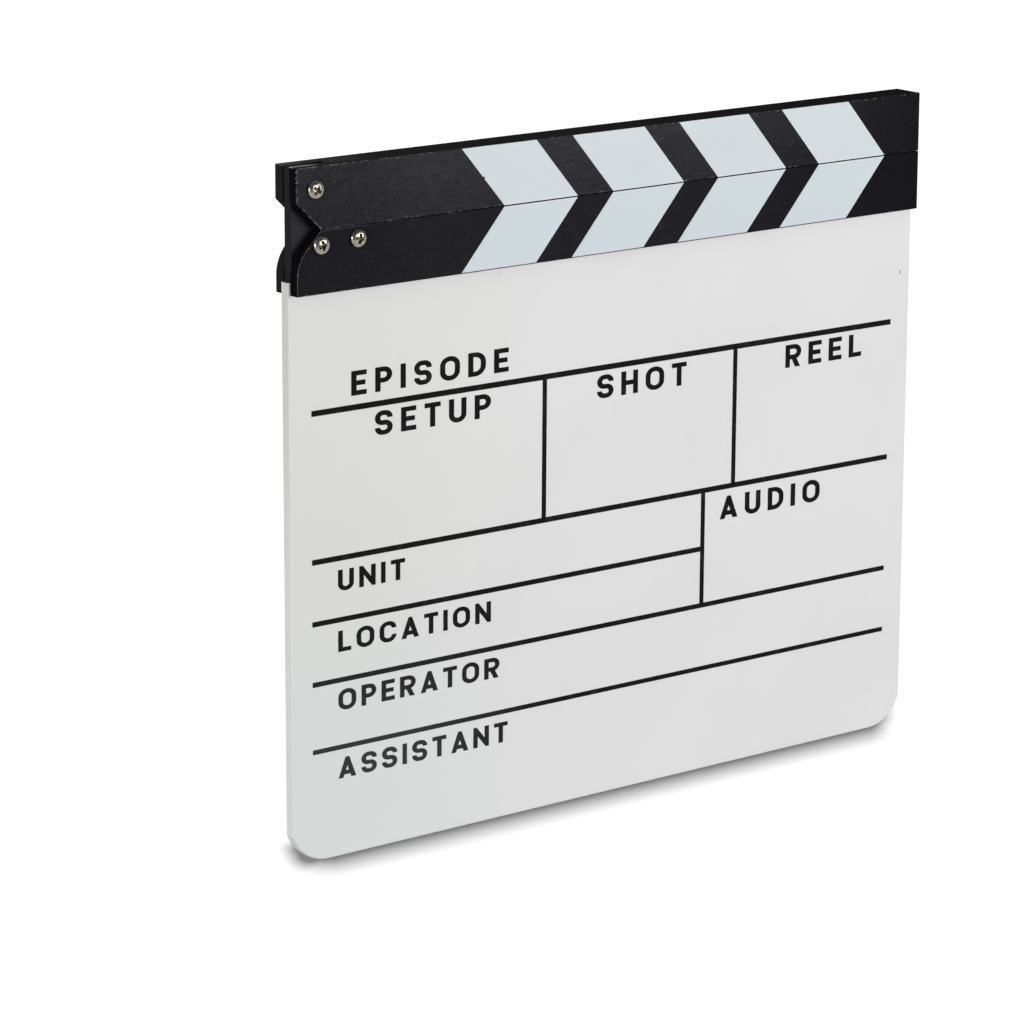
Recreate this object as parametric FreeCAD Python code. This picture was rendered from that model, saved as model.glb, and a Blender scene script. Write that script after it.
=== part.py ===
import FreeCAD, Part
import math
import os

# A wooden clapperboard standing on the bottom edge of its board, with its sticks closed.
# X runs along the sticks with the hinge at the low end, Y from front to back, Z up.
# The origin is the middle of the board's bottom edge. Sizes are in millimetres.

# Overall size
board_width = 300.0
overall_height = 260.0

# Sheet stock: the board, and each outer layer of the two sticks
board_thickness = 4.5
layer_thickness = 4.5

# Sticks
stick_height = 23.0
stick_inset = 1.0            # the board stands out this far past each end of the sticks
seam_gap = 0.3               # dark line between the closed sticks
end_chamfer = 10.5           # 45 degree cut beside the seam at the hinge end
lower_end_radius = 15.5      # round below the lower stick's cut
edge_ease = 0.2              # sanded edges of the outer faces and of the hinge plate

# Board
board_corner_radius = 17.0
board_side_trim = 1.0        # sawn off each side after its corner was rounded
board_edge_radius = 0.6
groove_depth = 4.6           # how far the board stands up into the lower stick

# Hinge plate, held in the lower stick and carrying the upper one
pivot_from_end = 7.8
pivot_from_top = 8.25
outer_screw_past_chamfer = -0.35
outer_screw_below_seam = 5.2
inner_screw_from_outer = 16.0
inner_screw_below_seam = 4.4
plate_recess = 0.6           # the plate's edge lies this far inside the ends of the sticks
plate_top_gap = 0.3
plate_side_clearance = 0.2
plate_end_clearance = 0.3
plate_past_inner_screw = 7.0
slot_gap = 0.8               # between the plate's round nose and the upper stick's core

# Pan-head screws with a cross recess
head_diameter = 6.8
head_height = 2.1
head_rim_height = 1.2
shank_diameter = 3.5
screw_bite = 3.0             # length held in the back layer
point_length = 2.2
point_diameter = 0.6
hole_clearance = 0.05
pivot_clearance = 0.06
hole_end_clearance = 0.3
recess_span = 3.9
recess_floor_span = 1.6
recess_slot = 1.1
recess_depth = 1.5
pivot_recess_turn = 32.0
outer_recess_turn = -14.0
inner_recess_turn = 9.0

# White chevron stripes of thin film on the front of both sticks
stripe_width = 34.2
stripe_gap = 16.9
stripe_lean = 19.5           # sideways shift of a stripe from the stick's edge to the seam
stripe_end_margin = 18.4     # from the last stripe's tip to the end of the sticks
stripe_start_margin = 10.0   # least room between the hinge plate and the first stripe
film_thickness = 0.15
film_inset = 0.1             # from the seam and the top edge
film_low_margin = 0.4        # black strip left below the lower stripes

# Places along X
stick_right = board_width / 2 - stick_inset
stick_left = -stick_right
pivot_x = stick_left + pivot_from_end
outer_screw_x = stick_left + end_chamfer + outer_screw_past_chamfer
inner_screw_x = outer_screw_x + inner_screw_from_outer
plate_left = stick_left + plate_recess
plate_right = inner_screw_x + plate_past_inner_screw

# Places along Z
upper_bottom = overall_height - stick_height
lower_top = upper_bottom - seam_gap
lower_bottom = lower_top - stick_height
board_top = lower_bottom + groove_depth
pivot_z = overall_height - pivot_from_top
outer_screw_z = lower_top - outer_screw_below_seam
inner_screw_z = lower_top - inner_screw_below_seam
plate_top = overall_height - plate_top_gap
plate_shoulder = lower_top - plate_top_gap
plate_bottom = board_top + plate_end_clearance

# Places along Y, with the board's mid-thickness at zero
inner_front = -board_thickness / 2
inner_back = board_thickness / 2
outer_front = inner_front - layer_thickness
outer_back = inner_back + layer_thickness

# The plate's nose is round about the pivot, so that the upper core can turn past it
nose_radius = plate_top - pivot_z
nose_right = pivot_x + nose_radius
upper_core_left = nose_right + slot_gap
lower_core_left = plate_right + plate_end_clearance

screw_length = layer_thickness + board_thickness + screw_bite
hole_radius = shank_diameter / 2 + hole_clearance
pivot_bore_radius = shank_diameter / 2 + pivot_clearance


def outline(corners):
    """Closed wire through (x, z, radius) corners, each rounded by its radius."""
    points = [FreeCAD.Vector(x, 0, z) for x, z, _ in corners]
    count = len(corners)
    spans = []
    for i in range(count):
        radius = corners[i][2]
        back = (points[i - 1] - points[i]).normalize()
        ahead = (points[(i + 1) % count] - points[i]).normalize()
        half_angle = back.getAngle(ahead) / 2
        reach = radius / math.tan(half_angle)
        crown = radius / math.sin(half_angle) - radius
        middle = points[i] + (back + ahead).normalize() * crown
        spans.append((points[i] + back * reach, middle, points[i] + ahead * reach))
    edges = []
    for i in range(count):
        start, middle, end = spans[i]
        if corners[i][2] > 0:
            edges.append(Part.Arc(start, middle, end).toShape())
        edges.append(Part.makeLine(end, spans[(i + 1) % count][0]))
    return Part.Wire(edges)


def sheet(corners, front, back):
    """Flat piece with the given outline, from one depth to another."""
    face = Part.Face(outline(corners))
    face.translate(FreeCAD.Vector(0, front, 0))
    return face.extrude(FreeCAD.Vector(0, back - front, 0))


def lies_at(edge, y):
    """True for an edge that lies wholly at one depth."""
    return all(math.isclose(vertex.Y, y, abs_tol=1e-6) for vertex in edge.Vertexes)


def eased(solid, y):
    """The solid with the outline of its face at one depth lightly rounded."""
    return solid.makeFillet(edge_ease, [edge for edge in solid.Edges if lies_at(edge, y)])


def drilled(solid, x, z, radius, front, back):
    """The solid with a round hole through it from one depth to another."""
    start = FreeCAD.Vector(x, front, z)
    return solid.cut(Part.makeCylinder(radius, back - front, start, FreeCAD.Vector(0, 1, 0)))


def make_board():
    """White board with round bottom corners, trimmed sides and softened edges below the groove."""
    half = board_width / 2
    blank_half = half + board_side_trim
    blank = sheet([
        (-blank_half, 0, board_corner_radius),
        (blank_half, 0, board_corner_radius),
        (blank_half, board_top, 0),
        (-blank_half, board_top, 0),
    ], inner_front, inner_back)
    kept = Part.makeBox(board_width, board_thickness, board_top, FreeCAD.Vector(-half, inner_front, 0))
    board = blank.common(kept).Solids[0]
    rims = []
    for edge in board.Edges:
        at_face = lies_at(edge, inner_front) or lies_at(edge, inner_back)
        if at_face and edge.BoundBox.ZMin < board_top - board_edge_radius:
            rims.append(edge)
    return board.makeFillet(board_edge_radius, rims)


upper_outline = [
    (stick_left + end_chamfer, upper_bottom, 0),
    (stick_right, upper_bottom, 0),
    (stick_right, overall_height, 0),
    (stick_left, overall_height, 0),
    (stick_left, upper_bottom + end_chamfer, 0),
]

lower_outline = [
    (stick_left, lower_bottom, 0),
    (stick_right, lower_bottom, 0),
    (stick_right, lower_top, 0),
    (stick_left + end_chamfer, lower_top, 0),
    (stick_left, lower_top - end_chamfer, lower_end_radius),
]

upper_holes = [(pivot_x, pivot_z)]
lower_holes = [(outer_screw_x, outer_screw_z), (inner_screw_x, inner_screw_z)]


def make_front_layer(corners, holes):
    """Front layer of a stick, with through holes for its screws."""
    layer = eased(sheet(corners, outer_front, inner_front), outer_front)
    for x, z in holes:
        layer = drilled(layer, x, z, hole_radius, outer_front, inner_front)
    return layer


def make_back_layer(corners, holes):
    """Back layer of a stick, with blind holes that hold the screws."""
    layer = eased(sheet(corners, inner_back, outer_back), outer_back)
    hole_end = inner_back + screw_bite + hole_end_clearance
    for x, z in holes:
        layer = drilled(layer, x, z, hole_radius, inner_back, hole_end)
    return layer


def make_core(left, bottom, top):
    """Filler strip between the layers of a stick, as thick as the board."""
    return sheet([
        (left, bottom, 0),
        (stick_right, bottom, 0),
        (stick_right, top, 0),
        (left, top, 0),
    ], inner_front, inner_back)


def make_hinge_plate():
    """Plate screwed into the lower stick, with a nose in the upper stick's slot."""
    front = inner_front + plate_side_clearance
    back = inner_back - plate_side_clearance
    plate = sheet([
        (plate_left, plate_bottom, 0),
        (plate_right, plate_bottom, 0),
        (plate_right, plate_shoulder, 0),
        (nose_right, plate_shoulder, 0),
        (nose_right, plate_top, nose_radius),
        (plate_left, plate_top, 0),
    ], front, back)
    plate = eased(eased(plate, front), back)
    plate = drilled(plate, pivot_x, pivot_z, pivot_bore_radius, front, back)
    for x, z in lower_holes:
        plate = drilled(plate, x, z, hole_radius, front, back)
    return plate


def make_screw(x, z, recess_turn):
    """Pan-head screw driven in from the front, its cross recess turned by an angle."""
    head_radius = head_diameter / 2
    shank_radius = shank_diameter / 2
    dome_height = head_height - head_rim_height
    dome_radius = (head_radius ** 2 + dome_height ** 2) / (2 * dome_height)
    dome_centre = dome_radius - head_height
    half_sweep = math.asin(head_radius / dome_radius) / 2
    crown = FreeCAD.Vector(0, -head_height, 0)
    dome_middle = FreeCAD.Vector(
        dome_radius * math.sin(half_sweep), dome_centre - dome_radius * math.cos(half_sweep), 0)
    rim = FreeCAD.Vector(head_radius, -head_rim_height, 0)
    profile = [Part.Arc(crown, dome_middle, rim).toShape()]
    corners = [
        rim,
        FreeCAD.Vector(head_radius, 0, 0),
        FreeCAD.Vector(shank_radius, 0, 0),
        FreeCAD.Vector(shank_radius, screw_length - point_length, 0),
        FreeCAD.Vector(point_diameter / 2, screw_length, 0),
        FreeCAD.Vector(0, screw_length, 0),
        crown,
    ]
    for start, end in zip(corners, corners[1:]):
        profile.append(Part.makeLine(start, end))
    axis = FreeCAD.Vector(0, 1, 0)
    screw = Part.Face(Part.Wire(profile)).revolve(FreeCAD.Vector(0, 0, 0), axis, 360)

    # Each arm of the recess narrows towards its floor
    slot = Part.Face(Part.makePolygon([
        FreeCAD.Vector(-recess_span / 2, -head_height, -recess_slot / 2),
        FreeCAD.Vector(recess_span / 2, -head_height, -recess_slot / 2),
        FreeCAD.Vector(recess_floor_span / 2, recess_depth - head_height, -recess_slot / 2),
        FreeCAD.Vector(-recess_floor_span / 2, recess_depth - head_height, -recess_slot / 2),
        FreeCAD.Vector(-recess_span / 2, -head_height, -recess_slot / 2),
    ])).extrude(FreeCAD.Vector(0, 0, recess_slot))
    for turn in (recess_turn, recess_turn + 90):
        arm = slot.copy()
        arm.rotate(FreeCAD.Vector(0, 0, 0), axis, turn)
        screw = screw.cut(arm)
    screw.translate(FreeCAD.Vector(x, outer_front, z))
    return screw


def make_stripe(start, top, bottom, top_shift, bottom_shift):
    """One leaning stripe of film on the front face of a stick."""
    return sheet([
        (start + bottom_shift, bottom, 0),
        (start + bottom_shift + stripe_width, bottom, 0),
        (start + top_shift + stripe_width, top, 0),
        (start + top_shift, top, 0),
    ], outer_front - film_thickness, outer_front)


def stripe_starts():
    """Left edges of as many stripes as fit, counted back from the end of the sticks."""
    pitch = stripe_width + stripe_gap
    last = stick_right - stripe_end_margin - stripe_lean - stripe_width
    count = int((last - plate_right - stripe_start_margin) / pitch) + 1
    return [last - pitch * (count - 1 - i) for i in range(count)]


nodes = {
    "slate_board": make_board(),
    "lower_stick_front": make_front_layer(lower_outline, lower_holes),
    "lower_stick_core": make_core(lower_core_left, board_top, lower_top),
    "lower_stick_back": make_back_layer(lower_outline, lower_holes),
    "upper_stick_front": make_front_layer(upper_outline, upper_holes),
    "upper_stick_core": make_core(upper_core_left, upper_bottom, overall_height),
    "upper_stick_back": make_back_layer(upper_outline, upper_holes),
    "hinge_plate": make_hinge_plate(),
    "pivot_screw": make_screw(pivot_x, pivot_z, pivot_recess_turn),
    "hinge_screw_outer": make_screw(outer_screw_x, outer_screw_z, outer_recess_turn),
    "hinge_screw_inner": make_screw(inner_screw_x, inner_screw_z, inner_recess_turn),
}
for number, start in enumerate(stripe_starts(), 1):
    nodes[f"upper_stripe_{number}"] = make_stripe(
        start, overall_height - film_inset, upper_bottom + film_inset, 0, stripe_lean)
    nodes[f"lower_stripe_{number}"] = make_stripe(
        start, lower_top - film_inset, lower_bottom + film_low_margin, stripe_lean, 0)

os.makedirs("parts", exist_ok=True)
for name, shape in nodes.items():
    shape.exportStep(f"parts/{name}.step")
    print(f"{name}: {len(shape.Solids)} solid, {shape.Volume:.1f} cubic mm, valid {shape.isValid()}")
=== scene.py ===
import math

import bmesh
import bpy
from mathutils import Matrix, Vector


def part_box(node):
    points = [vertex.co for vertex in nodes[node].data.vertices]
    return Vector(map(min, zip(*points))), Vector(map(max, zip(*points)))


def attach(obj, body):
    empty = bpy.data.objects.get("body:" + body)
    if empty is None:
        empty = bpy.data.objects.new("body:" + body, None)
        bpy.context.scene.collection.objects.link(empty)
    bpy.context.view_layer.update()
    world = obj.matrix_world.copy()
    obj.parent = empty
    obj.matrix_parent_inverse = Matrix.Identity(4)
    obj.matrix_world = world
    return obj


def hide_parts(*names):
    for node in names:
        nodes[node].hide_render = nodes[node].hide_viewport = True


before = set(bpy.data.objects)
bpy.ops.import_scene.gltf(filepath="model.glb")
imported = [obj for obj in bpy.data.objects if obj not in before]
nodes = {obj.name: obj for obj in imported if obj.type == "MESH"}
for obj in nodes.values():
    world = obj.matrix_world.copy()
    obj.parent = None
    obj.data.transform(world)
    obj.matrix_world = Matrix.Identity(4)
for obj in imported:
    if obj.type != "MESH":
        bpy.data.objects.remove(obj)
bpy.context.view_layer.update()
scene = bpy.context.scene
mm = 0.001
print("frame loaded:", len(nodes), "nodes")

# places read from the frame
upperLow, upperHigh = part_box("upper_stick_front")
lowerLow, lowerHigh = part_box("lower_stick_front")
boardLow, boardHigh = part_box("slate_board")
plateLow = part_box("hinge_plate")[0]
stickLeft, stickRight, stickFront = lowerLow.x, lowerHigh.x, lowerLow.y
seamZ = (upperLow.z + lowerHigh.z) / 2
halfSeam = (upperLow.z - lowerHigh.z) / 2


class Signal:
    # one output of a node tree; sums on it add Math nodes
    def __init__(self, tree, socket=None):
        self.tree = tree
        self.socket = socket

    def node(self, kind, settings, inputs, output=0):
        made = self.tree.nodes.new("ShaderNode" + kind)
        for name, value in settings.items():
            setattr(made, name, value)
        for name, value in inputs.items():
            if isinstance(value, Signal):
                self.tree.links.new(value.socket, made.inputs[name])
            else:
                made.inputs[name].default_value = value
        return Signal(self.tree, made.outputs[output]) if made.outputs else None

    def output(self, name):
        # another output of the same node
        return Signal(self.tree, self.socket.node.outputs[name])

    def sum(self, operation, first, second):
        return self.node("Math", {"operation": operation}, {0: first, 1: second})

    def __add__(self, other):
        return self.sum("ADD", self, other)

    def __radd__(self, other):
        return self.sum("ADD", other, self)

    def __sub__(self, other):
        return self.sum("SUBTRACT", self, other)

    def __rsub__(self, other):
        return self.sum("SUBTRACT", other, self)

    def __mul__(self, other):
        return self.sum("MULTIPLY", self, other)

    def __rmul__(self, other):
        return self.sum("MULTIPLY", other, self)

    def __pow__(self, other):
        return self.sum("POWER", self, other)

    def __rpow__(self, other):
        return self.sum("POWER", other, self)

    def __abs__(self):
        return self.sum("ABSOLUTE", self, 0.0)

    def least(self, other):
        return self.sum("MINIMUM", self, other)

    def most(self, other):
        return self.sum("MAXIMUM", self, other)

    def rise(self, low, high):
        # smooth step from 0 at low to 1 at high; low may be the larger one
        return self.node("MapRange", {"interpolation_type": "SMOOTHSTEP"},
                         {"Value": self, "From Min": low, "From Max": high})

    def axes(self):
        x = self.node("SeparateXYZ", {}, {"Vector": self}, "X")
        return x, x.output("Y"), x.output("Z")

    def noise(self, scale, detail, stretch=(1.0, 1.0, 1.0)):
        spread = self.node("VectorMath", {"operation": "MULTIPLY"}, {0: self, 1: stretch})
        return self.node("TexNoise", {}, {"Vector": spread, "Scale": scale, "Detail": detail})

    def blend(self, low, high):
        # colour low where this is 0, high where it is 1
        return self.node("Mix", {"data_type": "RGBA"}, {0: self, 6: low, 7: high}, 2)


def startMaterial(name):
    material = bpy.data.materials.new(name)
    material.use_nodes = True
    material.node_tree.nodes.clear()
    return material, Signal(material.node_tree).node("TexCoord", {}, {}, "Object")


def closeMaterial(place, height, bump, inputs):
    relief = place.node("Bump", {}, {
        "Strength": bump["strength"],
        "Distance": bump["depth"],
        "Height": height,
    })
    shader = place.node("BsdfPrincipled", {}, {**inputs, "Normal": relief})
    place.node("OutputMaterial", {}, {"Surface": shader})


spots = {
    "edge": (1.4, 0.5),                                     # soft edge of a spot, in squared radii
    "far": 9.0,                                             # well outside every spot
}


def spotMask(x, z, ellipses):
    # 1 inside small ellipses, given as (x, z, half width, half height)
    nearest = spots["far"]
    for middleX, middleZ, wide, high in ellipses:
        across = (x - middleX) * (1 / wide)
        up = (z - middleZ) * (1 / high)
        nearest = (across * across + up * up).least(nearest)
    return nearest.rise(*spots["edge"])


# In the finishes below a pair gives where a mask is 0 and where it is 1, in metres or as a noise level.
# Lengths along the sticks run from the hinge end. A noise is its scale, detail and stretch.
stickPaint = {
    "color": (0.0083, 0.0082, 0.0105, 1.0),
    "cut": 10.5 * mm,                                       # 45 degree cut at the hinge end
    "round": 15.5 * mm,                                     # round below the lower stick's cut
    "sideDepth": (0.1 * mm, 0.3 * mm),                      # below a face, where the sides begin
    "hingeEnd": (60 * mm, 6 * mm),                          # wear and the painted edge highlight gather here
    "roughness": 0.80,
    "roughSpread": 0.1,
    "specular": 0.01,
    "lowRelief": 0.55,                                      # relief of the grain, more on the upper stick
    "upperRelief": 0.45,
    "bareRelief": 0.6,
    "bump": {"strength": 0.35, "depth": 0.12 * mm},
}


def notchDistance(look, x, z):
    # how far a point is from the cuts and the round at the hinge end
    along = x - stickLeft
    fromCut = abs(abs(z - seamZ) - halfSeam + along - look["cut"]) * math.sqrt(0.5)
    across = along - look["round"]
    up = z - (lowerHigh.z - look["cut"] - look["round"] * math.tan(math.pi / 8))
    outside = (0.0 - up).most(0.0) + (across + up).most(0.0)  # only an eighth of a turn is round
    return fromCut.least(abs((across * across + up * up) ** 0.5 - look["round"]) + outside)


def outlineDistance(look, x, z):
    # how far a point of the sticks' front is from the nearest line of their outline
    fromSeam = abs(z - seamZ) - halfSeam
    fromEnd = (x - stickLeft).least(stickRight - x)
    fromRail = fromSeam.least(upperHigh.z - z).least(z - lowerLow.z)
    return fromEnd.least(fromRail).least(notchDistance(look, x, z))


stickGrain = {
    "color": (0.040, 0.040, 0.043, 1.0),
    "noise": (1300.0, 3.0, (0.38, 1.0, 1.0)),               # fibres run along the stick
    "shown": (0.54, 0.82),
    "share": 0.55,
    "upperShare": 0.4,
    "fade": (150 * mm, 280 * mm),                           # fainter towards the tip
    "fadeLoss": 0.6,
}


def grainMask(look, grain, along, upper):
    share = upper * look["upperShare"] + look["share"]
    share = share * (1.0 - along.rise(*look["fade"]) * look["fadeLoss"])
    return grain.rise(*look["shown"]) * share


stickSpecks = {
    "color": (0.055, 0.055, 0.062, 1.0),
    "noise": (1750.0, 2.0, (0.7, 1.0, 1.0)),
    "shown": (0.69, 0.81),
    "upperMore": 0.064,                                     # the upper stick has more of them
    "hingeMore": 0.006,
    "fade": (170 * mm, 250 * mm),                           # but fewer towards its tip
    "fadeLoss": 0.014,
    "lowerEnd": (260 * mm, 150 * mm),                       # the lower stick has none at its tip
}


def speckMask(look, speck, along, upper, atHinge):
    more = atHinge * look["hingeMore"] - along.rise(*look["fade"]) * look["fadeLoss"] + look["upperMore"]
    specks = (speck + upper * more).rise(*look["shown"])
    return specks * (upper + along.rise(*look["lowerEnd"])).least(1.0)


# dust and painted sheen: the paint lighter on the upper stick and towards the hinge end
stickDustAndSheen = {
    "color": (0.0372, 0.0366, 0.0420, 1.0),
    "share": 0.30,
    "upperShare": 0.43,                                     # more on the upper stick
    "topShare": 0.32,                                       # and most near its top
    "fade": (325 * mm, 160 * mm),
    "handled": (60 * mm, 25 * mm),                          # less close to the hinge end
    "handledLoss": 0.32,
    "streak": (950.0, 3.0, (0.24, 1.0, 1.0)),
    "streakShown": (0.58, 0.38),
    "streakLoss": 0.26,
    "pitShown": (0.44, 0.32),                               # low levels of the speck noise
    "pitLoss": 0.34,
}


def dustAndSheenMask(look, speck, streak, z, along, upper):
    dustAndSheen = upper * (z.rise(seamZ, upperHigh.z) * look["topShare"] + look["upperShare"]) + look["share"]
    dustAndSheen = dustAndSheen * along.rise(*look["fade"])
    dustAndSheen = dustAndSheen * (1.0 - along.rise(*look["handled"]) * look["handledLoss"])
    lost = streak.rise(*look["streakShown"]) * look["streakLoss"]
    return dustAndSheen * (1.0 - lost - speck.rise(*look["pitShown"]) * look["pitLoss"])


stickWearAndHighlight = {
    "bareColor": (0.118, 0.118, 0.123, 1.0),
    # painted highlight along the edges near the hinge
    "highlightLineColor": (0.125, 0.126, 0.132, 1.0),
    "mottle": (1100.0, 3.0, (0.6, 1.0, 1.0)),
    "frontFace": (-5 * mm, -6.4 * mm),                      # depth at which all of it shows
    "elsewhere": 0.4,                                       # share that shows on the other faces
    "hinge": 0.06,                                          # wear at the hinge end
    "upperHinge": 0.10,                                     # and more on the upper stick
    "railStart": (20 * mm, 50 * mm),
    "rail": 0.125,                                          # wear along the upper stick's edges
    "tip": (255 * mm, 285 * mm),
    "tipLoss": 0.03,
    "drop": 0.2 / mm,                                       # loss with the distance from an edge
    "bareShown": (0.60, 0.76),
    "lineWidth": (0.26 * mm, 0.06 * mm),
    "lineShare": 0.9,
    "upperLineLoss": 0.75,
    "lineShown": (0.30, 0.55),
}


def wearAndHighlightMasks(look, mottle, rim, y, along, upper, atHinge):
    # bare spots along the edges, and a fine painted highlight line on them near the hinge
    front = y.rise(*look["frontFace"]) * (1.0 - look["elsewhere"]) + look["elsewhere"]
    rail = upper * along.rise(*look["railStart"])
    wear = atHinge * (upper * look["upperHinge"] + look["hinge"])
    wear = wear + rail * (look["rail"] - along.rise(*look["tip"]) * look["tipLoss"])
    bare = (mottle + wear - rim * look["drop"]).rise(*look["bareShown"]) * front
    line = rim.rise(*look["lineWidth"]) * atHinge * (look["lineShare"] - upper * look["upperLineLoss"])
    return bare, line * front * mottle.rise(*look["lineShown"])


# the ends and the bottom are darker than the faces; on the top, painted shade at the tip and painted sheen
# towards the hinge end
stickSides = {
    "color": (0.0042, 0.0040, 0.0054, 1.0),
    "backColor": (0.0160, 0.0156, 0.0190, 1.0),             # back layers near the hinge
    "backHalf": (-2.5 * mm, 2.5 * mm),
    "backEnd": (40 * mm, 10 * mm),
    "tipTop": (0.0052, 0.0050, 0.0060, 1.0),                # top face, from the tip to the hinge end
    "middleTop": (0.0115, 0.0113, 0.0126, 1.0),
    "hingeTop": (0.050, 0.050, 0.052, 1.0),
    "endTop": (0.090, 0.090, 0.092, 1.0),
    "middle": (290 * mm, 120 * mm),
    "hinge": (42 * mm, 22 * mm),
    "end": (10 * mm, 6 * mm),
    "topDepth": (0.3 * mm, 0.1 * mm),
    "inner": (-6.2 * mm, -1.8 * mm),                        # the grey tops keep off the front edge
    "scuffAndSheenColor": (0.46, 0.46, 0.465, 1.0),                 # a pale streak on top of the front layer, a scuff with painted sheen
    "paleStreakEnd": (13 * mm, 7 * mm),
    "paleStreakFront": (-4.8 * mm, -3.4 * mm),
    "paleStreakBack": (0.0, -2.0 * mm),
    "scuffAndSheenShown": (0.26, 0.40),
}


def sidePaint(look, mottle, y, z, along):
    # colour of the sticks' sides, with painted shade and sheen on the top, and the mask of the pale streak
    # on top
    onTop = (upperHigh.z - z).rise(*look["topDepth"])
    inner = y.rise(*look["inner"])
    top = along.rise(*look["middle"]).blend(look["tipTop"], look["middleTop"])
    top = (inner * along.rise(*look["hinge"])).blend(top, look["hingeTop"])
    top = (inner * along.rise(*look["end"])).blend(top, look["endTop"])
    behind = y.rise(*look["backHalf"]) * along.rise(*look["backEnd"])
    color = onTop.blend(behind.blend(look["color"], look["backColor"]), top)
    scuffAndSheen = onTop * along.rise(*look["paleStreakEnd"]) * y.rise(*look["paleStreakFront"])
    return color, scuffAndSheen * y.rise(*look["paleStreakBack"]) * mottle.rise(*look["scuffAndSheenShown"])


def makeStickPaint(look):
    material, place = startMaterial("stickPaint")
    x, y, z = place.axes()
    along = x - stickLeft
    upper = z.rise(seamZ - halfSeam, seamZ + halfSeam)      # the upper stick is the rougher one
    atHinge = along.rise(*look["hingeEnd"])
    sunk = abs(abs(y) + stickFront)                         # below the front or back face
    onSide = sunk.rise(*look["sideDepth"])
    rim = sunk.most(outlineDistance(look, x, z))            # to the edges of that face
    grain = place.noise(*stickGrain["noise"])
    speck = place.noise(*stickSpecks["noise"])
    streak = place.noise(*stickDustAndSheen["streak"])
    mottle = place.noise(*stickWearAndHighlight["mottle"])
    bare, line = wearAndHighlightMasks(stickWearAndHighlight, mottle, rim, y, along, upper, atHinge)
    side, scuffAndSheen = sidePaint(stickSides, mottle, y, z, along)
    specks = speckMask(stickSpecks, speck, along, upper, atHinge) * (1.0 - onSide)
    # dust and painted sheen on the faces
    color = dustAndSheenMask(stickDustAndSheen, speck, streak, z, along, upper).blend(look["color"], stickDustAndSheen["color"])
    color = grainMask(stickGrain, grain, along, upper).blend(color, stickGrain["color"])
    color = onSide.blend(color, side)
    color = specks.blend(color, stickSpecks["color"])
    # painted highlight along the edges
    color = line.blend(color, stickWearAndHighlight["highlightLineColor"])
    color = bare.blend(color, stickWearAndHighlight["bareColor"])
    # scuff and painted sheen on the top
    color = scuffAndSheen.blend(color, stickSides["scuffAndSheenColor"])
    height = grain * (look["lowRelief"] + upper * look["upperRelief"]) - bare * look["bareRelief"]
    closeMaterial(place, height, look["bump"], {
        "Base Color": color,
        "Roughness": grain * look["roughSpread"] + look["roughness"],
        "Specular IOR Level": look["specular"],
    })
    return material


platePaint = {
    "color": (0.0310, 0.0305, 0.0350, 1.0),
    "shadeColor": (0.0070, 0.0068, 0.0085, 1.0),            # painted shade along the sticks' cuts
    "scuffAndSheenColor": (0.042, 0.042, 0.045, 1.0),
    "edgeColor": (0.0185, 0.0182, 0.0212, 1.0),
    "grain": (900.0, 3.0, (1.0, 1.0, 0.3)),
    "scuffAndSheen": (240.0, 4.0),
    "scuffAndSheenShown": (0.56, 0.74),
    "edgeDepth": (0.3 * mm, 0.1 * mm),
    "faceDepth": (0.4 * mm, 0.1 * mm),
    "shadeReach": (2.7 * mm, 0.1 * mm),
    "roughness": 0.7,
    "roughSpread": 0.1,
    "specular": 0.03,
    "bump": {"strength": 0.25, "depth": 0.08 * mm},
}


def makePlatePaint(look):
    material, place = startMaterial("platePaint")
    x, y, z = place.axes()
    grain = place.noise(*look["grain"])
    scuffAndSheen = place.noise(*look["scuffAndSheen"])
    openEdge = (x - plateLow.x).rise(*look["edgeDepth"])
    # painted shade on the plate's front face beside the sticks' cuts and round
    paintedShade = notchDistance(stickPaint, x, z).rise(*look["shadeReach"])
    paintedShade = paintedShade * (y - plateLow.y).rise(*look["faceDepth"])
    color = scuffAndSheen.rise(*look["scuffAndSheenShown"]).blend(look["color"], look["scuffAndSheenColor"])
    color = paintedShade.blend(color, look["shadeColor"])
    color = openEdge.blend(color, look["edgeColor"])
    closeMaterial(place, grain, look["bump"], {
        "Base Color": color,
        "Roughness": grain * look["roughSpread"] + look["roughness"],
        "Specular IOR Level": look["specular"],
    })
    return material


lacquer = {
    "color": (0.729, 0.731, 0.727, 1.0),
    "cloudColor": (0.709, 0.712, 0.707, 1.0),
    "cloud": (16.0, 4.0),
    "cloudShown": (0.42, 0.66),
    "leftShadeColor": (0.694, 0.694, 0.679, 1.0),                # painted shade towards the hinge end
    "leftShadeEnd": (-20 * mm, -140 * mm),
    "coolColor": (0.686, 0.713, 0.705, 1.0),                # and painted shade with a cooler cast below
    "coolBelow": (140 * mm, 10 * mm),
    "endTop": (0.672, 0.676, 0.652, 1.0),                   # end faces, with painted shade at the top and painted light below
    "endLow": (0.776, 0.782, 0.774, 1.0),
    "endFade": (80 * mm, 210 * mm),
    "endDepth": (0.3 * mm, 0.1 * mm),
    # painted shade along the rounded edges at the ends and the bottom
    "rimColor": (0.700, 0.704, 0.688, 1.0),
    "rimWidth": (0.7 * mm, 0.2 * mm),
    "rawColor": (0.23, 0.145, 0.07, 1.0),                   # uncoated top edge, in the groove
    "rawDark": (0.12, 0.07, 0.03, 1.0),
    "rawDepth": (0.12 * mm, 0.04 * mm),
    "rawRough": 0.4,
    "fibre": (1400.0, 2.0, (0.3, 1.0, 1.0)),
    "fibreShown": (0.4, 0.6),
    "markColor": (0.16, 0.16, 0.155, 1.0),
    "marks": (
        (144.9 * mm, 187.8 * mm, 0.32 * mm, 0.8 * mm),
        (-55.9 * mm, 210.2 * mm, 0.3 * mm, 0.2 * mm),
    ),
    "roller": (650.0, 2.0),                                 # orange peel of a rolled coat
    "roughness": 0.40,
    "roughSpread": 0.12,
    "specular": 0.4,
    "bump": {"strength": 0.18, "depth": 0.05 * mm},
}


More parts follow.
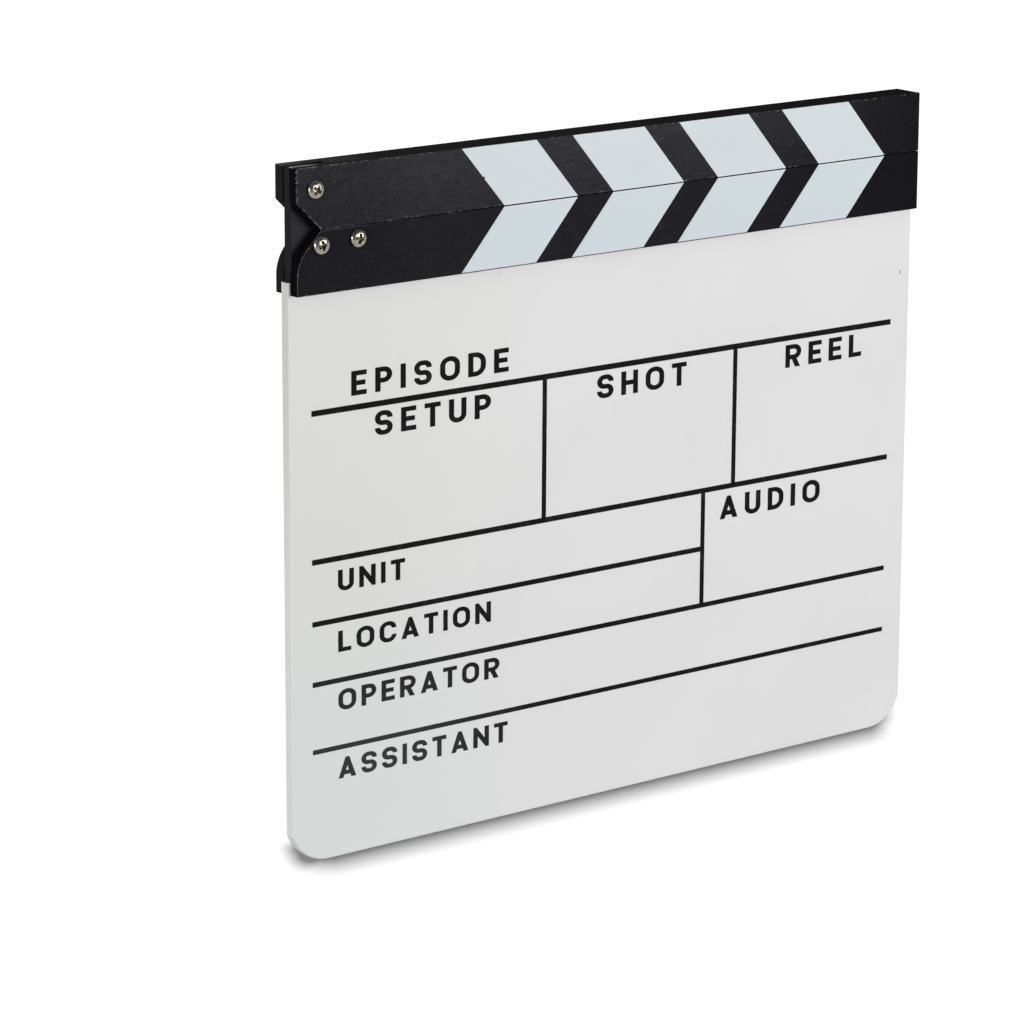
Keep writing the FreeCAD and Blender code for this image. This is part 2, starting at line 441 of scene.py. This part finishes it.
def makeLacquer(look):
    material, place = startMaterial("lacquer")
    x, y, z = place.axes()
    cloud = place.noise(*look["cloud"])
    roller = place.noise(*look["roller"])
    fibre = place.noise(*look["fibre"])
    fromEnd = boardHigh.x - abs(x)
    rim = fromEnd.least(z - boardLow.z)
    raw = (boardHigh.z - z).rise(*look["rawDepth"])
    mark = spotMask(x, z, look["marks"]) * y.rise(0.0, boardLow.y)
    color = cloud.rise(*look["cloudShown"]).blend(look["color"], look["cloudColor"])
    # painted shade on the hinge end of the board, cooler towards its bottom
    leftShade = z.rise(*look["coolBelow"]).blend(look["leftShadeColor"], look["coolColor"])
    color = x.rise(*look["leftShadeEnd"]).blend(color, leftShade)
    # painted shade along the rim
    color = rim.rise(*look["rimWidth"]).blend(color, look["rimColor"])
    # painted shade and light on the end faces, darker at the top
    end = z.rise(*look["endFade"]).blend(look["endLow"], look["endTop"])
    color = fromEnd.rise(*look["endDepth"]).blend(color, end)
    color = mark.blend(color, look["markColor"])
    color = raw.blend(color, fibre.rise(*look["fibreShown"]).blend(look["rawDark"], look["rawColor"]))
    rough = (cloud - 0.5) * look["roughSpread"] + look["roughness"]
    closeMaterial(place, roller, look["bump"], {
        "Base Color": color,
        "Roughness": rough + raw * look["rawRough"],
        "Specular IOR Level": look["specular"],
    })
    return material


film = {
    "color": (0.610, 0.666, 0.699, 1.0),
    "toneColor": (0.597, 0.654, 0.691, 1.0),
    "tone": (40.0, 3.0),
    "toneShown": (0.4, 0.65),
    "lowColor": (0.584, 0.650, 0.688, 1.0),                 # on the lower stick
    "edgeColor": (0.645, 0.686, 0.714, 1.0),                # beside the seam
    "edgeReach": (1.2 * mm, 0.4 * mm),
    "nickColor": (0.020, 0.020, 0.022, 1.0),
    "nicks": (
        (-66.4 * mm, 248.2 * mm, 0.5 * mm, 0.6 * mm),
        (127.6 * mm, 244.0 * mm, 0.6 * mm, 0.6 * mm),
        (-40.3 * mm, 259.9 * mm, 1.0 * mm, 0.9 * mm),
    ),
    "ripple": (420.0, 2.0, (0.4, 1.0, 1.0)),                # wood grain telegraphs through
    "roughness": 0.36,
    "roughSpread": 0.1,
    "specular": 0.4,
    "bump": {"strength": 0.1, "depth": 0.04 * mm},
}


def makeFilm(look):
    material, place = startMaterial("film")
    x, _, z = place.axes()
    tone = place.noise(*look["tone"])
    ripple = place.noise(*look["ripple"])
    color = tone.rise(*look["toneShown"]).blend(look["color"], look["toneColor"])
    color = z.rise(seamZ + halfSeam, seamZ - halfSeam).blend(color, look["lowColor"])
    color = abs(z - seamZ).rise(*look["edgeReach"]).blend(color, look["edgeColor"])
    color = spotMask(x, z, look["nicks"]).blend(color, look["nickColor"])
    closeMaterial(place, ripple, look["bump"], {
        "Base Color": color,
        "Roughness": (tone - 0.5) * look["roughSpread"] + look["roughness"],
        "Specular IOR Level": look["specular"],
    })
    return material


ink = {
    "color": (0.0075, 0.0075, 0.0073, 1.0),
    "thinColor": (0.018, 0.018, 0.0175, 1.0),
    "cover": (300.0, 3.0),                                  # screen print, a little thin in places
    "coverShown": (0.52, 0.74),
    "lowerLeftColor": (0.040, 0.040, 0.039, 1.0),                # lighter at the lower left
    "lowerLeftEnd": (-20 * mm, -110 * mm),
    "lowerLeftBelow": (95 * mm, 30 * mm),
    "pin": (2400.0, 1.0),
    "roughness": 0.6,
    "roughSpread": 0.1,
    "specular": 0.03,
    "bump": {"strength": 0.15, "depth": 0.02 * mm},
}


def makeInk(look):
    material, place = startMaterial("ink")
    x, _, z = place.axes()
    cover = place.noise(*look["cover"])
    pin = place.noise(*look["pin"])
    lowerLeft = x.rise(*look["lowerLeftEnd"]) * z.rise(*look["lowerLeftBelow"])
    color = cover.rise(*look["coverShown"]).blend(look["color"], look["thinColor"])
    color = lowerLeft.blend(color, look["lowerLeftColor"])
    closeMaterial(place, pin, look["bump"], {
        "Base Color": color,
        "Roughness": (cover - 0.5) * look["roughSpread"] + look["roughness"],
        "Specular IOR Level": look["specular"],
    })
    return material


nickel = {
    "color": (0.54, 0.51, 0.455, 1.0),
    "tarnish": (0.33, 0.292, 0.228, 1.0),
    "tarnishNoise": (700.0, 3.0),
    "tarnishShown": (0.48, 0.72),
    # painted shade in the recess, darker with its depth
    "recessShadeColor": (0.085, 0.066, 0.040, 1.0),
    "recessShown": (0.04, 0.42),                            # share of the recess's depth
    "scratch": (1600.0, 2.0, (1.0, 1.0, 0.2)),
    "roughness": 0.07,
    "tarnishRough": 0.2,
    "recessRough": 0.2,
    "bump": {"strength": 0.2, "depth": 0.02 * mm},
}


def makeNickel(look):
    material, place = startMaterial("nickel")
    depth = place.node("Attribute", {"attribute_name": "recess"}, {}, "Fac")
    tarnish = place.noise(*look["tarnishNoise"])
    scratch = place.noise(*look["scratch"])
    color = tarnish.rise(*look["tarnishShown"]).blend(look["color"], look["tarnish"])
    # painted shade: darker deeper in the recess
    color = depth.rise(*look["recessShown"]).blend(color, look["recessShadeColor"])
    closeMaterial(place, scratch, look["bump"], {
        "Base Color": color,
        "Metallic": 1.0,
        "Roughness": tarnish * look["tarnishRough"] + depth * look["recessRough"] + look["roughness"],
    })
    return material


stickMaterial = makeStickPaint(stickPaint)
plateMaterial = makePlatePaint(platePaint)
lacquerMaterial = makeLacquer(lacquer)
filmMaterial = makeFilm(film)
inkMaterial = makeInk(ink)
nickelMaterial = makeNickel(nickel)

finishes = {"slate_board": lacquerMaterial, "hinge_plate": plateMaterial}
for name in nodes:
    if "_stick_" in name:
        finishes[name] = stickMaterial
    elif "_stripe_" in name:
        finishes[name] = filmMaterial
for name, material in finishes.items():
    nodes[name].material_slots[0].material = material
print("materials: 6, on", len(finishes), "nodes")


def addPiece(name, mesh, material, body):
    mesh.materials.clear()
    mesh.materials.append(material)
    piece = bpy.data.objects.new(name, mesh)
    scene.collection.objects.link(piece)
    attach(piece, body)
    return piece


def meshFrom(name, shape):
    mesh = bpy.data.meshes.new(name)
    shape.to_mesh(mesh)
    shape.free()
    return mesh


def modified(mesh, steps):
    # the mesh after modifiers, given as (kind, settings)
    body = bpy.data.objects.new("body", mesh)
    scene.collection.objects.link(body)
    for kind, settings in steps:
        step = body.modifiers.new(kind, kind)
        for name, value in settings.items():
            setattr(step, name, value)
    result = bpy.data.meshes.new_from_object(body.evaluated_get(bpy.context.evaluated_depsgraph_get()))
    bpy.data.objects.remove(body)
    return result


def combined(operation, mesh, others):
    # the mesh joined with or cut by the others
    tools = [bpy.data.objects.new("tool", other) for other in others]
    for tool in tools:
        scene.collection.objects.link(tool)
    settings = {"operation": operation, "solver": "EXACT"}
    result = modified(mesh, [("BOOLEAN", {**settings, "object": tool}) for tool in tools])
    for tool in tools:
        bpy.data.objects.remove(tool)
    return result


def soften(shape, parts, offset, steps, affect="EDGES", clamp=False):
    bmesh.ops.bevel(shape, geom=parts, offset=offset, affect=affect, segments=steps, profile=0.5,
                    material=-1, clamp_overlap=clamp)


screw = {
    "headRadius": 3.4 * mm,
    "headHeight": 2.1 * mm,
    "rimHeight": 1.2 * mm,
    "crownShare": 0.78,                                     # of the radius, before the shoulder
    "crownSteps": 8,
    "shoulder": 0.62 * mm,
    "shoulderSteps": 6,
    "foot": 0.08 * mm,
    "shankRadius": 1.75 * mm,
    "length": 12.0 * mm,
    "pointLength": 2.2 * mm,
    "pointRadius": 0.3 * mm,
    "turnSteps": 72,
    "recessSpan": 4.3 * mm,
    "recessFloor": 1.7 * mm,
    "recessDepth": 1.5 * mm,
    "recessWidth": 1.42 * mm,
    "topShare": 1.06,                                       # of that width, at the cutter's top
    "floorShare": 0.72,                                     # and at the recess's floor
    "cutterLip": 0.3 * mm,                                  # how far the cutter stands out of the head
    "reachShare": 0.6,                                      # of the span, a radius round all of the recess
    "softEdge": 0.09 * mm,
    "softSteps": 2,
    "softAngle": 30.0,                                      # sharper edges of the recess are softened
    "smoothAngle": 38.0,                                    # flatter edges are shaded smooth
    "turns": {"pivot_screw": 32.0, "hinge_screw_outer": -14.0, "hinge_screw_inner": 9.0},
    "paintedShade": {"pivot_screw": 0.35, "hinge_screw_outer": 1.0, "hinge_screw_inner": 0.9},   # painted shade in the recess
    "merge": 0.0001 * mm,                                   # closer vertices are one
    "match": 0.001 * mm,                                    # a vertex this close is on the rim
}


def crownDepth(size, radius):
    # where the crown's surface is at a radius, with the head's seat at 0
    rise = size["headHeight"] - size["rimHeight"]
    sphere = (size["headRadius"] ** 2 + rise ** 2) / (2 * rise)
    return sphere - size["headHeight"] - math.sqrt(sphere ** 2 - min(radius, size["headRadius"]) ** 2)


def screwBlank(size):
    # (radius, depth) from the crown round to the point, turned about the screw's axis
    steps = size["crownSteps"]
    crown = [size["headRadius"] * size["crownShare"] * i / steps for i in range(steps + 1)]
    points = [(radius, crownDepth(size, radius)) for radius in crown]
    points += [
        (size["headRadius"], -size["rimHeight"]),
        (size["headRadius"], -size["foot"]),
        (size["headRadius"] - size["foot"], 0.0),
        (size["shankRadius"], 0.0),
        (size["shankRadius"], size["length"] - size["pointLength"]),
        (size["pointRadius"], size["length"]),
        (0.0, size["length"]),
    ]
    shape = bmesh.new()
    verts = [shape.verts.new((radius, depth, 0.0)) for radius, depth in points]
    edges = [shape.edges.new(pair) for pair in zip(verts, verts[1:])]
    bmesh.ops.spin(shape, geom=verts + edges, cent=(0, 0, 0), axis=(0, 1, 0), angle=2 * math.pi,
                   steps=size["turnSteps"], use_merge=True)
    bmesh.ops.remove_doubles(shape, verts=shape.verts, dist=size["merge"])
    bmesh.ops.recalc_face_normals(shape, faces=shape.faces)
    rim = [edge for edge in shape.edges
           if all(abs(vert.co.y + size["rimHeight"]) < size["match"] for vert in edge.verts)]
    soften(shape, rim, size["shoulder"], size["shoulderSteps"])
    return meshFrom("blank", shape)


def recessArm(size, turn):
    # a cutter that narrows from above the head to the recess's floor
    shape = bmesh.new()
    bmesh.ops.create_cube(shape, size=1.0)
    top = -size["headHeight"] - size["cutterLip"]
    floor = size["recessDepth"] - size["headHeight"]
    slope = (size["recessSpan"] - size["recessFloor"]) / size["recessDepth"]
    topSpan = size["recessSpan"] + slope * size["cutterLip"]
    for vert in shape.verts:
        outside = vert.co.y < 0
        span = topSpan if outside else size["recessFloor"]
        width = size["recessWidth"] * (size["topShare"] if outside else size["floorShare"])
        vert.co = Vector((vert.co.x * span, top if outside else floor, vert.co.z * width))
    turned = Matrix.Rotation(math.radians(turn), 3, "Y")
    bmesh.ops.rotate(shape, verts=shape.verts, cent=(0, 0, 0), matrix=turned)
    return meshFrom("recessArm", shape)


def inRecess(size, vert):
    reach = size["recessSpan"] * size["reachShare"]
    return math.hypot(vert.co.x, vert.co.z) < reach and vert.co.y < 0


def makeScrew(node, body, size):
    turn = size["turns"][node]
    arms = [recessArm(size, turn), recessArm(size, turn + 90.0)]
    shape = bmesh.new()
    shape.from_mesh(combined("DIFFERENCE", screwBlank(size), arms))
    bmesh.ops.remove_doubles(shape, verts=shape.verts, dist=size["merge"])
    sharp = [edge for edge in shape.edges
             if edge.is_manifold and edge.calc_face_angle() > math.radians(size["softAngle"])
             and all(inRecess(size, vert) for vert in edge.verts)]
    soften(shape, sharp, size["softEdge"], size["softSteps"], clamp=True)
    depths = []                                             # share of the recess's depth, for its painted shade
    for vert in shape.verts:
        surface = crownDepth(size, math.hypot(vert.co.x, vert.co.z))
        sunk = (vert.co.y - surface) / size["recessDepth"] if inRecess(size, vert) else 0.0
        depths.append(max(0.0, min(1.0, sunk)) * size["paintedShade"][node])
    mesh = meshFrom(node, shape)
    mesh.attributes.new("recess", "FLOAT", "POINT").data.foreach_set("value", depths)
    mesh.shade_smooth()
    mesh.set_sharp_from_angle(angle=math.radians(size["smoothAngle"]))
    low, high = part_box(node)
    mesh.transform(Matrix.Translation(((low.x + high.x) / 2, stickFront, (low.z + high.z) / 2)))
    piece = addPiece(node + "_nickel", mesh, nickelMaterial, body)
    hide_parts(node)


makeScrew("pivot_screw", "clap_stick", screw)
makeScrew("hinge_screw_outer", "slate", screw)
makeScrew("hinge_screw_inner", "slate", screw)
print("screws: 3")


printed = {
    "turn": 0.23,                                           # degrees the print sits askew on the board
    "proud": 0.05 * mm,
    "sunk": 0.02 * mm,
}
printDepth = printed["proud"] + printed["sunk"]
printMiddle = (printed["sunk"] - printed["proud"]) / 2
askew = Matrix.Rotation(math.radians(printed["turn"]), 4, "Y")
layPrint = Matrix.Translation((0.0, boardLow.y, 0.0)) @ askew

rules = {
    "widths": (2.2 * mm, 2.1 * mm, 2.0 * mm, 1.95 * mm, 1.85 * mm),
    "stopWidth": 2.08 * mm,
    "left": -141.06 * mm,
    "right": 139.8 * mm,
    "heights": (168.74 * mm, 113.4 * mm, 90.1 * mm, 67.2 * mm, 41.5 * mm),
    "stops": ((-34.85 * mm, 0, 1), (58.7 * mm, 0, 1), (43.6 * mm, 1, 3)),   # x, from rule, to rule
    "shortRule": 2,                                         # ends at the last stop
    "corner": 0.2 * mm,
    "cornerSteps": 2,
}


def ruleBar(look, left, right, bottom, top):
    shape = bmesh.new()
    size = Matrix.Diagonal((right - left, printDepth, top - bottom, 1.0))
    middle = Matrix.Translation(((left + right) / 2, printMiddle, (bottom + top) / 2))
    bmesh.ops.create_cube(shape, size=1.0, matrix=middle @ size)
    upright = [edge for edge in shape.edges
               if abs(edge.verts[0].co.y - edge.verts[1].co.y) > printDepth / 2]
    soften(shape, upright, look["corner"], look["cornerSteps"])
    return meshFrom("bar", shape)


def makeRules(look):
    heights = look["heights"]
    bars = []
    for i, height in enumerate(heights):
        half = look["widths"][i] / 2
        end = look["stops"][-1][0] if i == look["shortRule"] else look["right"]
        bars.append(ruleBar(look, look["left"], end, height - half, height + half))
    half = look["stopWidth"] / 2
    for across, first, last in look["stops"]:
        bars.append(ruleBar(look, across - half, across + half, heights[last], heights[first]))
    mesh = combined("UNION", bars[0], bars[1:])
    mesh.transform(layPrint)
    addPiece("printed_rules", mesh, inkMaterial, "slate")


lettering = {
    "pen": 0.20,                                            # stroke, in cap heights
    "stretch": 1.30,                                        # letters are drawn narrow, then widened
    "widths": {                                             # as drawn, in cap heights
        "A": 0.76, "C": 0.73, "D": 0.69, "E": 0.58, "H": 0.69, "I": 0.20, "L": 0.56,
        "N": 0.71, "O": 0.77, "P": 0.64, "R": 0.69, "S": 0.67, "T": 0.62, "U": 0.68,
    },
    "fullness": 0.97,                                       # of the largest round that fits
    "roundSteps": 8,
    "overrun": 0.2,                                         # slanted strokes run on, to be cut off
    "bowlLow": 0.45,                                        # where the bowls of P and R close
    "legOut": 0.04,                                         # how far R's leg stands out
    "feetOut": 0.06,                                        # A: its feet, apex and bar
    "apex": 0.92,
    "bar": 0.25,
    "barInset": 0.2,
    "mouthC": 0.155,                                        # half the opening of C, and of S
    "mouthS": 0.19,
    "cornerC": 0.24,
    "cornerD": 0.32,
    "armShort": 0.05,                                       # how much shorter E's middle arm is
    "slantN": 0.1,                                          # where N's slant meets its stems
    "merge": 1e-4,
    "onLine": 1e-5,
    "tall": {"cap": 9.1 * mm, "gap": 0.32},
    "small": {"cap": 8.0 * mm, "gap": 0.23},
    "words": (                                              # word, size, left end, baseline
        ("EPISODE", "tall", -123.5 * mm, 173.1 * mm),
        ("SETUP", "tall", -113.0 * mm, 156.8 * mm),
        ("SHOT", "tall", -9.75 * mm, 156.8 * mm),
        ("REEL", "tall", 84.5 * mm, 156.8 * mm),
        ("AUDIO", "tall", 52.25 * mm, 100.4 * mm),
        ("UNIT", "small", -129.6 * mm, 100.9 * mm),
        ("LOCATION", "small", -129.6 * mm, 77.9 * mm),
        ("OPERATOR", "small", -129.6 * mm, 55.5 * mm),
        ("ASSISTANT", "small", -129.6 * mm, 29.4 * mm),
    ),
}


def letterStrokes(letter, look):
    # middle lines of the strokes as (x, z) corners in cap heights, with a radius where a corner is round
    pen, wide = look["pen"], look["widths"][letter]
    left, middle, right = pen / 2, wide / 2, wide - pen / 2
    low, waist, high = pen / 2, 0.5, 1 - pen / 2
    bowlLow = look["bowlLow"]
    bend = (wide - pen) / 2 * look["fullness"]
    curl = (high - waist) / 2 * look["fullness"]
    bowlBend = (high - bowlLow) / 2 * look["fullness"]
    below, feet = -look["overrun"], look["feetOut"]
    bar, inset = look["bar"], look["barInset"]
    lipC, roundC, roundD = look["mouthC"], look["cornerC"], look["cornerD"]
    lipS, slant = look["mouthS"], look["slantN"]
    stem = ((left, 0), (left, 1))
    bowl = ((left, high), (right, high, bowlBend), (right, bowlLow, bowlBend), (left, bowlLow))
    strokes = {
        "A": (
            ((left - feet, below), (middle, look["apex"]), (right + feet, below)),
            ((inset, bar), (wide - inset, bar)),
        ),
        "C": ((
            (right, waist + lipC), (right, high, roundC), (left, high, bend),
            (left, low, bend), (right, low, roundC), (right, waist - lipC),
        ),),
        "D": ((
            (left, waist), (left, high), (right, high, roundD),
            (right, low, roundD), (left, low), (left, waist),
        ),),
        "E": (
            ((wide, high), (left, high), (left, low), (wide, low)),
            ((left, waist), (wide - look["armShort"], waist)),
        ),
        "H": (stem, ((right, 0), (right, 1)), ((left, waist), (right, waist))),
        "I": (stem,),
        "L": (((left, 1), (left, low), (wide, low)),),
        "N": (((left, 0), (left, 1 - slant), (right, slant), (right, 1)),),
        "O": ((
            (left, waist), (left, high, bend), (right, high, bend),
            (right, low, bend), (left, low, bend), (left, waist),
        ),),
        "P": (stem, bowl),
        "R": (stem, bowl, ((middle, bowlLow), (right + look["legOut"], below))),
        "S": ((
            (right, waist + lipS), (right, high, curl), (left, high, curl), (left, waist, curl),
            (right, waist, curl), (right, low, curl), (left, low, curl), (left, waist - lipS),
        ),),
        "T": (((0, high), (wide, high)), ((middle, 0), (middle, high))),
        "U": (((left, 1), (left, low, bend), (right, low, bend), (right, 1)),),
    }
    return strokes[letter]


def strokeMesh(corners, look):
    # a wall along the stroke's middle line, one deep, thickened to the pen's width
    shape = bmesh.new()
    verts = [shape.verts.new((corner[0], -0.5, corner[1])) for corner in corners]
    for pair in zip(verts, verts[1:]):
        shape.edges.new(pair)
    for vert, corner in zip(verts, corners):
        if len(corner) == 3:
            soften(shape, [vert], corner[2], look["roundSteps"], affect="VERTICES")
    bmesh.ops.remove_doubles(shape, verts=shape.verts, dist=look["merge"])
    wall = bmesh.ops.extrude_edge_only(shape, edges=shape.edges[:])
    raised = [part for part in wall["geom"] if isinstance(part, bmesh.types.BMVert)]
    bmesh.ops.translate(shape, verts=raised, vec=(0, 1, 0))
    bmesh.ops.recalc_face_normals(shape, faces=shape.faces)
    pen = {"thickness": look["pen"], "offset": 0.0, "use_even_offset": True}
    return modified(meshFrom("stroke", shape), [("SOLIDIFY", pen)])


def letterMesh(letter, look):
    strokes = [strokeMesh(corners, look) for corners in letterStrokes(letter, look)]
    shape = bmesh.new()
    shape.from_mesh(combined("UNION", strokes[0], strokes[1:]))
    for level, outward in ((0.0, -1.0), (1.0, 1.0)):         # slanted strokes end at the base and cap lines
        geom = shape.verts[:] + shape.edges[:] + shape.faces[:]
        bmesh.ops.bisect_plane(shape, geom=geom, dist=look["onLine"], plane_co=(0, 0, level),
                               plane_no=(0, 0, outward), clear_outer=True)
        bmesh.ops.holes_fill(shape, edges=[edge for edge in shape.edges if edge.is_boundary], sides=0)
    bmesh.ops.recalc_face_normals(shape, faces=shape.faces)
    return meshFrom(letter, shape)


def makeWord(text, size, left, base, look, alphabet):
    shape = bmesh.new()
    wide = size["cap"] * look["stretch"]
    sized = Matrix.Diagonal((wide, printDepth, size["cap"], 1.0))
    across = left
    for letter in text:
        known = len(shape.verts)
        shape.from_mesh(alphabet[letter])
        placed = Matrix.Translation((across, printMiddle, base))
        bmesh.ops.transform(shape, matrix=placed @ sized, verts=shape.verts[:][known:])
        across += (look["widths"][letter] + size["gap"]) * wide
    mesh = meshFrom(text, shape)
    mesh.transform(layPrint)
    addPiece("word_" + text.lower(), mesh, inkMaterial, "slate")


makeRules(rules)
alphabet = {letter: letterMesh(letter, lettering) for letter in lettering["widths"]}
for text, size, left, base in lettering["words"]:
    makeWord(text, lettering[size], left, base, lettering, alphabet)
print("print: rules and", len(lettering["words"]), "words")


stage = {
    "floorSize": 12.0,
    "floorColor": (0.8, 0.8, 0.8, 1.0),                     # as it lights the object
    "seenColor": (0.15, 0.15, 0.15, 1.0),                   # as the camera and metal see it, under its glow
    "black": (0.0, 0.0, 0.0, 1.0),
    "white": (1.0, 1.0, 1.0, 1.0),
    "ambient": 0.28,                                        # world light on the object
    "mirrorDim": 0.12,                                      # how bright metal sees the room in front
    "mirrorFloor": 0.60,                                    # and the floor near the object
    "floorFade": (-1.5, -0.3),
    "roomFade": (-0.4, 0.3),                                # by direction, from the front to the back
    "ceilingDim": 0.45,
    "ceilingFade": (0.2, 0.6),                              # by direction, upwards
    "contactReach": 23 * mm,                                # how far the contact shadow spreads
    "backReach": 30 * mm,                                   # and how much further behind the board
    "behind": (0.0, 8 * mm),
    "shadowRays": 16,
    "shadowGain": 1.66,                                     # light on the floor from its open share
    "shadowLoss": 0.665,
    "darkest": 0.15,
    "shadowLeft": (-159.4 * mm, -130.6 * mm),               # where it fades beside the round corners
    "shadowRight": (154 * mm, 136 * mm),
    "shadowBack": (28 * mm, 12 * mm),
    "leftSlant": 0.44,                                      # how far the fades lean, per length backwards
    "rightSlant": 0.9,
    "bandShade": 0.78,                                      # most shade in an even band along the board
    "bandLeft": (-153.4 * mm, -139.6 * mm),                 # and where it fades
    "bandFront": (-15 * mm, 5 * mm),
    "bandBack": (27 * mm, 12.5 * mm),
    "lamps": (                                              # name, place, width, height, watts
        ("sideLamp", (-2.7, -0.9, 0.37), 1.6, 0.7, 39.0),
        ("frontLamp", (1.2, -2.2, 0.45), 2.0, 0.8, 40.0),
        ("backLamp", (0.5, 2.6, 0.27), 2.0, 0.5, 36.0),
    ),
    "aim": (0.0, 0.0, 0.2),
}


def rayKinds(tree):
    camera = Signal(tree).node("LightPath", {}, {}, "Is Camera Ray")
    mirror = camera.output("Is Glossy Ray").most(camera.output("Is Transmission Ray"))
    return camera, mirror


def floorShade(look, place, x, y):
    # 0 on the open floor, towards 1 under the board
    reach = y.rise(*look["behind"]) * look["backReach"] + look["contactReach"]
    clear = place.node("AmbientOcclusion", {"samples": look["shadowRays"]}, {"Distance": reach}, "AO")
    shade = 1.0 - (clear * look["shadowGain"] - look["shadowLoss"]).most(look["darkest"]).least(1.0)
    left = x - y * look["leftSlant"]
    right = (x - y * look["rightSlant"]).rise(*look["shadowRight"])
    under = left.rise(*look["shadowLeft"]) * right * y.rise(*look["shadowBack"])
    band = left.rise(*look["bandLeft"]) * right * y.rise(*look["bandFront"]) * y.rise(*look["bandBack"])
    return band.least(look["bandShade"]).most(shade * under)


def makeFloor(look):
    shape = bmesh.new()
    bmesh.ops.create_grid(shape, x_segments=2, y_segments=2, size=look["floorSize"] / 2)
    floor = bpy.data.objects.new("floor", meshFrom("floor", shape))
    scene.collection.objects.link(floor)
    material, place = startMaterial("floor")
    x, y, _ = place.axes()
    camera, mirror = rayKinds(place.tree)
    room = y.rise(*look["floorFade"]) * (look["mirrorFloor"] - look["mirrorDim"]) + look["mirrorDim"]
    level = (1.0 - floorShade(look, place, x, y)) * camera.most(room)
    pale = place.node("BsdfDiffuse", {}, {"Color": look["floorColor"]})
    thin = place.node("BsdfDiffuse", {}, {"Color": level.blend(look["black"], look["seenColor"])})
    glow = place.node("Emission", {}, {"Color": level.blend(look["black"], look["white"]), "Strength": 1.0})
    bright = place.node("AddShader", {}, {0: thin, 1: glow})
    both = place.node("MixShader", {}, {0: camera.most(mirror), 1: pale, 2: bright})
    place.node("OutputMaterial", {}, {"Surface": both})
    floor.data.materials.append(material)


def makeWorld(look):
    world = bpy.data.worlds.new("studio")
    scene.world = world
    world.use_nodes = True
    tree = world.node_tree
    tree.nodes.clear()
    _, y, z = Signal(tree).node("TexCoord", {}, {}, "Generated").axes()
    camera, mirror = rayKinds(tree)
    # darker behind the camera and overhead
    room = y.rise(*look["roomFade"]) * (1.0 - look["mirrorDim"]) + look["mirrorDim"]
    room = room * (1.0 - z.rise(*look["ceilingFade"]) * (1.0 - look["ceilingDim"]))
    level = camera.most(mirror * room + (1.0 - mirror) * look["ambient"])
    sky = camera.node("Background", {}, {"Color": look["white"], "Strength": level})
    camera.node("OutputWorld", {}, {"Surface": sky})


def makeLamps(look):
    for name, place, width, height, watts in look["lamps"]:
        light = bpy.data.lights.new(name, "AREA")
        light.shape = "RECTANGLE"
        light.size = width
        light.size_y = height
        light.energy = watts
        lamp = bpy.data.objects.new(name, light)
        lamp.location = place
        lamp.rotation_euler = (Vector(look["aim"]) - Vector(place)).to_track_quat("-Z", "Y").to_euler()
        lamp.visible_camera = False
        scene.collection.objects.link(lamp)


view = {
    "place": (-0.96914, -1.20122, 0.50869),
    "pan": 37.487,
    "pitch": 13.469,
    "roll": 0.191,
    "lens": 146.44,
    "sensor": 36.0,
    "shift": -0.0703,
}


def makeCamera(look):
    camera = bpy.data.objects.new("camera", bpy.data.cameras.new("camera"))
    camera.data.lens = look["lens"]
    camera.data.sensor_width = look["sensor"]
    camera.data.shift_y = look["shift"]
    turn = Matrix.Rotation(-math.radians(look["pan"]), 4, "Z")
    tilt = Matrix.Rotation(math.radians(90.0 - look["pitch"]), 4, "X")
    roll = Matrix.Rotation(math.radians(look["roll"]), 4, "Z")
    camera.matrix_world = Matrix.Translation(look["place"]) @ turn @ tilt @ roll
    scene.collection.objects.link(camera)
    scene.camera = camera


makeFloor(stage)
makeWorld(stage)
makeLamps(stage)
makeCamera(view)
scene.view_settings.view_transform = "Standard"
print("stage ready")
